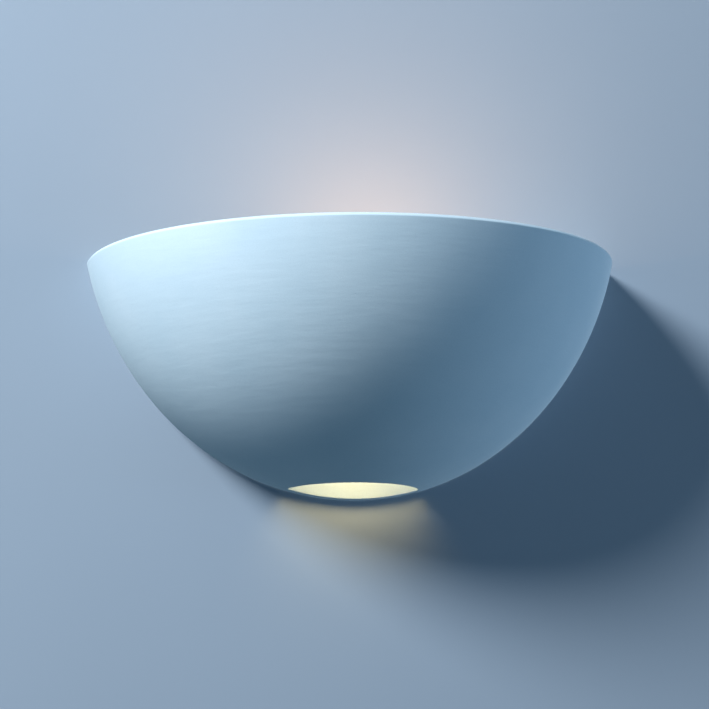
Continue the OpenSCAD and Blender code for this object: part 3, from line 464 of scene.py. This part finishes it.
# %% Plastics, rubber, porcelain
def moulded(name, colour, other, roughness, size=2.5, depth=0.03, **values):
    """A moulded finish: two close colours in soft clouds and a faint orange-peel."""
    material, tree, shader = new_material(name, Roughness=roughness, IOR=1.5, **values)
    add(tree, RAMP, links={"Fac": mottle(tree, 12)}, into=shader.inputs["Base Color"],
        stops=[(0.3, linear(colour)), (0.7, linear(other))])
    add(tree, BUMP, links={"Height": mottle(tree, size, detail=1)},
        into=shader.inputs["Normal"], values={"Distance": depth * MM, "Strength": 0.5})
    return material


nylon = moulded("natural_nylon", "#E6E1D2", "#EEEADC", 0.38)
rubber = moulded("natural_rubber", "#202224", "#2A2C2E", 0.75, size=0.8)
live_pvc = moulded("brown_pvc", "#5A3420", "#643B26", 0.33)
neutral_pvc = moulded("blue_pvc", "#2F5F9A", "#386AA6", 0.33)
porcelain = moulded("glazed_porcelain", "#ECE8DD", "#F3F0E7", 0.3, size=4, depth=0.05,
                    Coat_Weight=1.0, Coat_Roughness=0.05)
black_glass = moulded("black_glass", "#17130F", "#201A15", 0.12)

# %% Green and yellow insulation
GREEN, YELLOW = linear("#2F7D3C"), linear("#D9C83A")
earth_pvc, tree, shader = new_material("green_yellow_pvc", Roughness=0.33, IOR=1.5)
uv = add(tree, "ShaderNodeUVMap")
parts = add(tree, "ShaderNodeSeparateXYZ", links={"Vector": uv.outputs["UV"]})
around = add(tree, "ShaderNodeMath", {"operation": "FRACT"}, links={0: parts.outputs["Y"]})
add(tree, RAMP, links={"Fac": around.outputs[0]}, into=shader.inputs["Base Color"],
    stops=[(0.0, GREEN), (0.68, GREEN), (0.72, YELLOW)])
add(tree, BUMP, links={"Height": mottle(tree, 2.5, detail=1)}, into=shader.inputs["Normal"],
    values={"Distance": 0.03 * MM, "Strength": 0.5})
print("stripe colours:", GREEN, YELLOW)

# %% Opal glass, clear glass and felt
opal, tree, shader = new_material("opal_glass", Roughness=0.18, IOR=1.5, Emission_Strength=1.3,
                                  Emission_Color=linear("#FFD8AA"))
add(tree, RAMP, links={"Fac": mottle(tree, 22)}, into=shader.inputs["Base Color"],
    stops=[(0.3, linear("#FBF3E4")), (0.7, linear("#FFF8EA"))])
add(tree, BUMP, links={"Height": mottle(tree, 30, detail=1)}, into=shader.inputs["Normal"],
    values={"Distance": 0.1 * MM, "Strength": 0.4})

clear_glass, tree, shader = new_material("clear_glass", Roughness=0.03, IOR=1.5,
                                         Transmission_Weight=1.0)
add(tree, BUMP, links={"Height": mottle(tree, 8, detail=1)}, into=shader.inputs["Normal"],
    values={"Distance": 0.05 * MM, "Strength": 0.3})

felt, tree, shader = new_material("wool_felt", Roughness=0.95, IOR=1.5, Sheen_Weight=0.5)
fibres = mottle(tree, 0.35, detail=4, stretch=(1, 1, 0.4), rough=0.7)
add(tree, RAMP, links={"Fac": fibres}, into=shader.inputs["Base Color"],
    stops=[(0.3, linear("#575550")), (0.7, linear("#7A7872"))])
add(tree, BUMP, links={"Height": fibres}, into=shader.inputs["Normal"],
    values={"Distance": 0.3 * MM, "Strength": 0.9})
print("materials so far:", len(bpy.data.materials))

# %% [markdown]
# ## Sheet metal and small hardware
# These pieces have the right shape in the CAD model, but knife-sharp edges. A pressed or turned
# part catches the light on its edges, so a copy of each node has its triangles merged into flat
# faces and its edges rounded by a bevel, and stands for the node.

# %% Softened copies of CAD nodes
FLAT = math.radians(0.3)  # faces that meet at less than this are one flat face
EDGE = math.radians(30)  # edges that turn by more than this are rounded


def cad_copy(node):
    """A bmesh of a CAD node, whose separate faces are joined along their edges."""
    bm = bmesh.new()
    bm.from_mesh(NODES[node].data)
    bmesh.ops.remove_doubles(bm, verts=bm.verts, dist=CAD_WELD)
    return bm


def softened(node, material, body="root", radius=0.3, segments=2):
    """A copy of a CAD node with merged faces and rounded edges, which replaces the node."""
    bm = cad_copy(node)
    bmesh.ops.dissolve_limit(bm, angle_limit=FLAT, verts=bm.verts, edges=bm.edges,
                             delimit={"NORMAL"})
    piece = finish_piece("soft_" + node, bm, material, body, node)
    bevel = piece.modifiers.new("round", "BEVEL")
    bevel.limit_method, bevel.angle_limit = "ANGLE", EDGE
    bevel.width, bevel.segments, bevel.use_clamp_overlap = radius * MM, segments, True
    piece.modifiers.new("flat", "WEIGHTED_NORMAL").keep_sharp = True


ZINC, BRASS, NYLON = "zinc_plated_steel", "brass", "natural_nylon"
SHEET_AND_SCREWS = (
    ("wall_plate", zinc, ZINC, 0.45), ("reflector_cover", aluminium, "aluminium_sheet", 0.3),
    ("cover_screws", zinc, ZINC, 0.35), ("lampholder_bracket", zinc, ZINC, 0.4),
    ("bracket_screws", zinc, ZINC, 0.35), ("left_shade_stud", zinc, ZINC, 0.25),
    ("right_shade_stud", zinc, ZINC, 0.25), ("lampholder_fixing_screws", zinc, ZINC, 0.3),
    ("earth_tag", tinned, "tinned_copper", 0.15), ("earth_screw", brass, BRASS, 0.35),
    ("lead_clip", nylon, NYLON, 0.3), ("terminal_block", nylon, NYLON, 0.4))
for node, material, slot, radius in SHEET_AND_SCREWS:
    softened(node, material, radius=radius)
for side in ("left", "right"):
    softened(side + "_washer", zinc, side + "_nut_carrier", radius=0.2)
    softened(side + "_thumb_nut", brass, side + "_nut", radius=0.15)
softened("lampholder_body", porcelain, radius=0.8, segments=3)

# %% [markdown]
# ## Turned rubber, nylon and felt
# Grommet, bush and felt pads are rings. Each is a rounded section turned about its own axis, so
# its lips are soft where the CAD solid has square ones. The felt's edge is also nudged by a
# fixed noise, because a punched felt edge is never quite true.

# %% Ring pieces
FELT_GRAIN = 1.6  # size of the felt edge's waves in mm
CORNER = math.radians(40)  # section corners that turn by more than this are rounded


def ring_piece(name, node, section, x, z, material, rounding, steps=72, ragged=0.0):
    """A closed section of (radius, -y) in mm turned about a line along Y, corners rounded."""
    bm = turned(section, steps, closed=True)
    corners = [e for e in bm.edges if len(e.link_faces) == 2 and e.calc_face_angle(0) > CORNER]
    round_edges(bm, corners, rounding)
    place(bm, facing_room(x, z))
    if ragged:
        for vert in bm.verts:
            vert.co += noise.noise_vector(vert.co / (FELT_GRAIN * MM)) * ragged * MM
    piece = finish_piece(name, bm, material, "root", node, sharp=50)
    print(name, "has", len(piece.data.polygons), "faces")


def lipped(bore, groove, lip, near, far, lip_t):
    """The section of a bush that grips a sheet between two lips."""
    return [(bore, near - lip_t), (lip, near - lip_t), (lip, near), (groove, near),
            (groove, far), (lip, far), (lip, far + lip_t), (bore, far + lip_t)]


ring_piece("grommet", "supply_grommet", lipped(4.5, 7, 9.5, 2, 3.5, 1.6), 0, 22,
           rubber, 0.5)
ring_piece("bush", "lead_bush", lipped(3.3, 5, 5.8, 18, 18.8, 1), -66, -5, nylon, 0.3)
for side, sign in (("left", -1), ("right", 1)):
    ring_piece(side + "_felt", side + "_felt_pad",
               [(3.6, 1.52), (9.9, 1.52), (9.9, 2.98), (3.6, 2.98)], sign * STUD_X, STUD_Z,
               felt, 0.35, steps=96, ragged=0.06)

# %% [markdown]
# ## The leads
# Two leads go from the terminal block out through the bush, along the bracket's arm under a
# clip, and into the lampholder, and the earth lead goes to its tag. They're fixed wires, not
# free cords, so each is a smooth curve with a round bevel along the CAD model's route.

# %% Leads
LEAD_R = 1.3


def lead_start(pole):
    """A lead's first knots, straight down out of one of the terminal block's poles."""
    return [(pole * 13, -8.5, z) for z in (-22, -25, -29)]


def lead_end(side):
    """A lead's last knots, from the bush along the arm to one of the lampholder's terminals."""
    z = -5 + side * 1.65
    return [(-66, -16, z), (-66, -19.8, z), (-68, -24.8, z), (-76.2, -39, z), (-76.2, -45, z),
            (-76.2, -51, z), (-74.1, -67.166, -5 + side * 4), (-73.5, -74.166, -5 + side * 4.5),
            (-73.5, -88.166, -5 + side * 4.5)]


ROUTES = {
    "live_lead": (live_pvc, "live_insulation", lead_start(-1) + [
        (-18, -8.5, -34), (-32, -8.5, -36), (-48, -9, -34), (-60, -9, -27), (-64.5, -9, -16),
        (-65, -9.5, -7), (-65.7, -12, -4)] + lead_end(1)),
    "neutral_lead": (neutral_pvc, "neutral_insulation", lead_start(0) + [
        (-5, -8.5, -37), (-18, -9, -39.8), (-34, -10, -40), (-50, -11, -38), (-64, -12.2, -29),
        (-68, -12.8, -18), (-67.4, -13.2, -9)] + lead_end(-1)),
    "earth_lead": (earth_pvc, "earth_insulation", lead_start(1) + [
        (18, -8.5, -34), (32, -8.5, -36), (46, -7, -31), (57, -5, -18), (60, -3.4, -6),
        (60, -3.4, 2), (60, -3.4, 7)]),
}
for node, (material, slot, points) in ROUTES.items():
    curve = bpy.data.curves.new("wire_" + node, "CURVE")
    curve.dimensions, curve.resolution_u = "3D", 6
    curve.bevel_depth, curve.bevel_resolution, curve.use_fill_caps = LEAD_R * MM, 4, True
    spline = curve.splines.new("BEZIER")
    spline.bezier_points.add(len(points) - 1)
    for knot, point in zip(spline.bezier_points, points):
        knot.co = mm(*point)
        knot.handle_left_type = knot.handle_right_type = "AUTO"
    curve.materials.append(material)
    wire = linked("wire_" + node, curve)
    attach(wire, "root")
    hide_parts(node)
    print(node, "has", len(points), "knots")

# %% [markdown]
# ## The lamp
# The lamp is a blown bulb of opal glass in a plated cap with a rolled thread. The bulb is
# turned from the same line as in the CAD model, a ball that runs into a neck, with more steps.
# The cap's CAD mesh is copied, its triangles are joined to quads, and one level of subdivision
# rounds its thread. The shell that the cap screws into is made the same way.

# %% The bulb
LAMP_Y, LAMP_Z, TIP_X = -95.1659, -5, -61
BULB_X, BULB_R, NECK_X, NECK_R, GLASS = TIP_X + 77, 30, TIP_X + 25, 12.45, 0.8
BULB_TURN = math.radians(125)  # where the ball runs into the neck, from its far end
NECK_SLOPE = 0.02  # how fast the glass widens where it leaves the cap
ALONG_LAMP = Matrix.Translation(mm(0, LAMP_Y, LAMP_Z)) @ Matrix.Rotation(math.pi / 2, 4, "Y")


def neck(steps=24):
    """Points (radius, x) of a smooth curve from the cap to the ball."""
    r0, r1 = NECK_R, BULB_R * math.sin(BULB_TURN)
    length = BULB_X + BULB_R * math.cos(BULB_TURN) - NECK_X
    m0, m1 = NECK_SLOPE * length, -length / math.tan(BULB_TURN)
    points = []
    for t in (i / steps for i in range(steps)):
        radius = ((2 * t ** 3 - 3 * t ** 2 + 1) * r0 + (t ** 3 - 2 * t ** 2 + t) * m0
                  + (3 * t ** 2 - 2 * t ** 3) * r1 + (t ** 3 - t ** 2) * m1)
        points.append((radius, NECK_X + t * length))
    return points


def ball(steps=40):
    """Points (radius, x) round the ball, from the neck to its far end."""
    angles = [BULB_TURN * (1 - i / steps) for i in range(steps + 1)]
    return [(BULB_R * math.sin(a), BULB_X + BULB_R * math.cos(a)) for a in angles]


bulb_bm = turned(neck() + ball(), 96)
bmesh.ops.recalc_face_normals(bulb_bm, faces=bulb_bm.faces)
bmesh.ops.solidify(bulb_bm, geom=bulb_bm.faces[:], thickness=GLASS * MM)
place(bulb_bm, ALONG_LAMP)
bulb = finish_piece("bulb", bulb_bm, opal, "lamp", "lamp_glass")
low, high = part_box("lamp_glass")
print("bulb in CAD from", [round(v / MM, 1) for v in low], "to", [round(v / MM, 1) for v in high])


# %% The cap and the shell
def smoothed(node, material, body):
    """A copy of a CAD node as quads, rounded by subdivision, which replaces the node."""
    bm = cad_copy(node)
    bmesh.ops.join_triangles(bm, faces=bm.faces, angle_face_threshold=0.6,
                             angle_shape_threshold=0.9)
    piece = finish_piece("smooth_" + node, bm, material, body, node)
    for edge in piece.data.edges:
        edge.use_edge_sharp = False
    subdivision = piece.modifiers.new("round", "SUBSURF")
    subdivision.levels = subdivision.render_levels = 1
    print(node, "has", len(piece.data.polygons), "faces before subdivision")


smoothed("lamp_cap", nickel, "lamp")
smoothed("lampholder_screw_shell", brass, "root")

# %% [markdown]
# ## The nodes that keep their CAD mesh
# Small pieces deep inside the lampholder and the lamp are right as they are, and only get
# their material. Their meshes aren't touched.

# %% Materials for the CAD nodes that stay
KEPT = {
    "terminal_inserts": brass, "terminal_screws": zinc, "terminal_block_screw": zinc,
    "lampholder_shell_strap": brass, "lampholder_contact_foot": brass,
    "lampholder_contact_tongue": brass, "lampholder_rivets": brass,
    "lampholder_terminals": brass, "lampholder_terminal_screws": zinc,
    "lamp_tip_contact": tinned, "lamp_insulator": black_glass, "lamp_stem": clear_glass,
    "lamp_support_wires": tungsten, "lamp_filament": tungsten}
for node, material in KEPT.items():
    NODES[node].data.materials.clear()
    NODES[node].data.materials.append(material)
print("CAD nodes kept:", len(KEPT))

# %% [markdown]
# ## Stage
# The sconce hangs on a wall, so the backdrop is a plain pale wall a hair behind it, with a
# floor far below. Both are clear from behind, so a view from behind shows the fitting's back
# and one from below its bottom. Both are stage and not part of the object, so they take the
# object's shadow and its light, but throw none back at it: bounced light would hide how much
# darker the bowl is on the side away from the lamp.

# %% Wall and floor
WALL_Y, FLOOR_Z = 0.0006, -1.3


def backdrop(name, colour, low, high, glow=0.0):
    """A flat stage piece, clear from behind; it can glow for the camera and for mirrors."""
    bm = bmesh.new()
    bmesh.ops.create_grid(bm, x_segments=1, y_segments=1, size=0.5)
    size = Vector(high) - Vector(low)
    turn = UPRIGHT if size.y == 0 else Matrix.Identity(4)
    scale = Matrix.Diagonal((size.x, size.y or 1, size.z or 1, 1))
    place(bm, Matrix.Translation((Vector(low) + Vector(high)) / 2) @ scale @ turn)
    mesh = bpy.data.meshes.new(name)
    bm.to_mesh(mesh)
    bm.free()
    material, tree, shader = new_material(name, Roughness=0.95)
    base = linear(colour)
    shaded = tuple(0.985 * c for c in base[:3]) + (1,)
    add(tree, RAMP, links={"Fac": mottle(tree, 160)}, into=shader.inputs["Base Color"],
        stops=[(0.3, shaded), (0.7, base)])
    if glow:
        level = add(tree, "ShaderNodeMath", {"operation": "MULTIPLY"},
                    links={0: seen_by(tree, "Is Glossy Ray")}, values={1: glow})
        shader.inputs["Emission Color"].default_value = base
        tree.links.new(level.outputs[0], shader.inputs["Emission Strength"])
    geometry = add(tree, "ShaderNodeNewGeometry")
    clear = add(tree, "ShaderNodeBsdfTransparent")
    mixed = add(tree, "ShaderNodeMixShader", links={
        0: geometry.outputs["Backfacing"], 1: shader.outputs["BSDF"], 2: clear.outputs["BSDF"]})
    tree.links.new(mixed.outputs["Shader"], tree.nodes["Material Output"].inputs["Surface"])
    mesh.materials.append(material)
    piece = linked(name, mesh)
    piece.visible_diffuse = False
    print(name, "measures", [round(v, 2) for v in size], "m")
    return piece


wall = backdrop("pale_wall", "#A3AEBB", (-2.4, WALL_Y, FLOOR_Z), (2.4, WALL_Y, 1.9))
wall.visible_shadow = wall.visible_glossy = False
backdrop("pale_floor", "#E4E6E6", (-4, -4, FLOOR_Z), (4, 4, FLOOR_Z), glow=0.5)

# %% [markdown]
# ## Light
# A large soft lamp stands high on the left, where the brightest light falls on the real bowl,
# and weaker ones fill from the right and from behind. The world adds an even bluish light, so
# that the shaded side keeps its colour. The bulb itself glows, but weakly: one strong enough to
# light the wall would burn out everything near it. So two small warm lamps beside it throw its
# light, one up onto the wall and one, in a narrower beam, down through the slot.

# %% Studio lamps
def area_light(name, position, target, size, power, colour="#FFFFFF", spread=180):
    """A round lamp, from a place to a target in metres, that the camera doesn't see."""
    data = bpy.data.lights.new(name, "AREA")
    data.shape, data.size, data.energy, data.color = "DISK", size, power, linear(colour)[:3]
    data.spread = math.radians(spread)
    lamp = linked(name, data)
    lamp.visible_camera = lamp.visible_glossy = False
    aim = (Vector(target) - Vector(position)).to_track_quat("-Z", "Y")
    lamp.matrix_world = Matrix.Translation(position) @ aim.to_matrix().to_4x4()
    print(name, "gives", power, "W")


area_light("key", (-1.72, -1.39, 1.42), (0, -0.08, 0), 0.9, 106, "#ECF7FF")
area_light("right_fill", (2.29, -0.3, -0.1), (0, -0.1, 0), 0.8, 15, "#BADDFF")
area_light("back", (0.9, 1.8, 0.7), (0, 0, 0), 1.2, 22)
area_light("glow_up", (0.016, -0.095, 0.047), (0.016, -0.094, 0.19), 0.05, 0.28, "#FFBB7C")
area_light("glow_down", (0, -0.075, -0.045), (-0.004, -0.008, -0.101), 0.06, 0.046, "#FFE2A0",
           spread=110)

# %% [markdown]
# The world is white for what looks at it, so that metal and glass have something bright to
# mirror, and gives its weak bluish light to everything else. Colours are shown as they are.

# %% World and view
scene.world = bpy.data.worlds.new("studio")
scene.world.use_nodes = True
tree = scene.world.node_tree
ambient = tree.nodes["Background"]
ambient.inputs["Color"].default_value = linear("#9FD4FB")
ambient.inputs["Strength"].default_value = 0.18
bright = add(tree, "ShaderNodeBackground", values={"Color": grey(1.0), "Strength": 1.0})
both = add(tree, "ShaderNodeMixShader", links={
    0: seen_by(tree, "Is Glossy Ray", "Is Transmission Ray"),
    1: ambient.outputs["Background"], 2: bright.outputs["Background"]})
tree.links.new(both.outputs["Shader"], tree.nodes["World Output"].inputs["Surface"])
scene.view_settings.view_transform = "Standard"
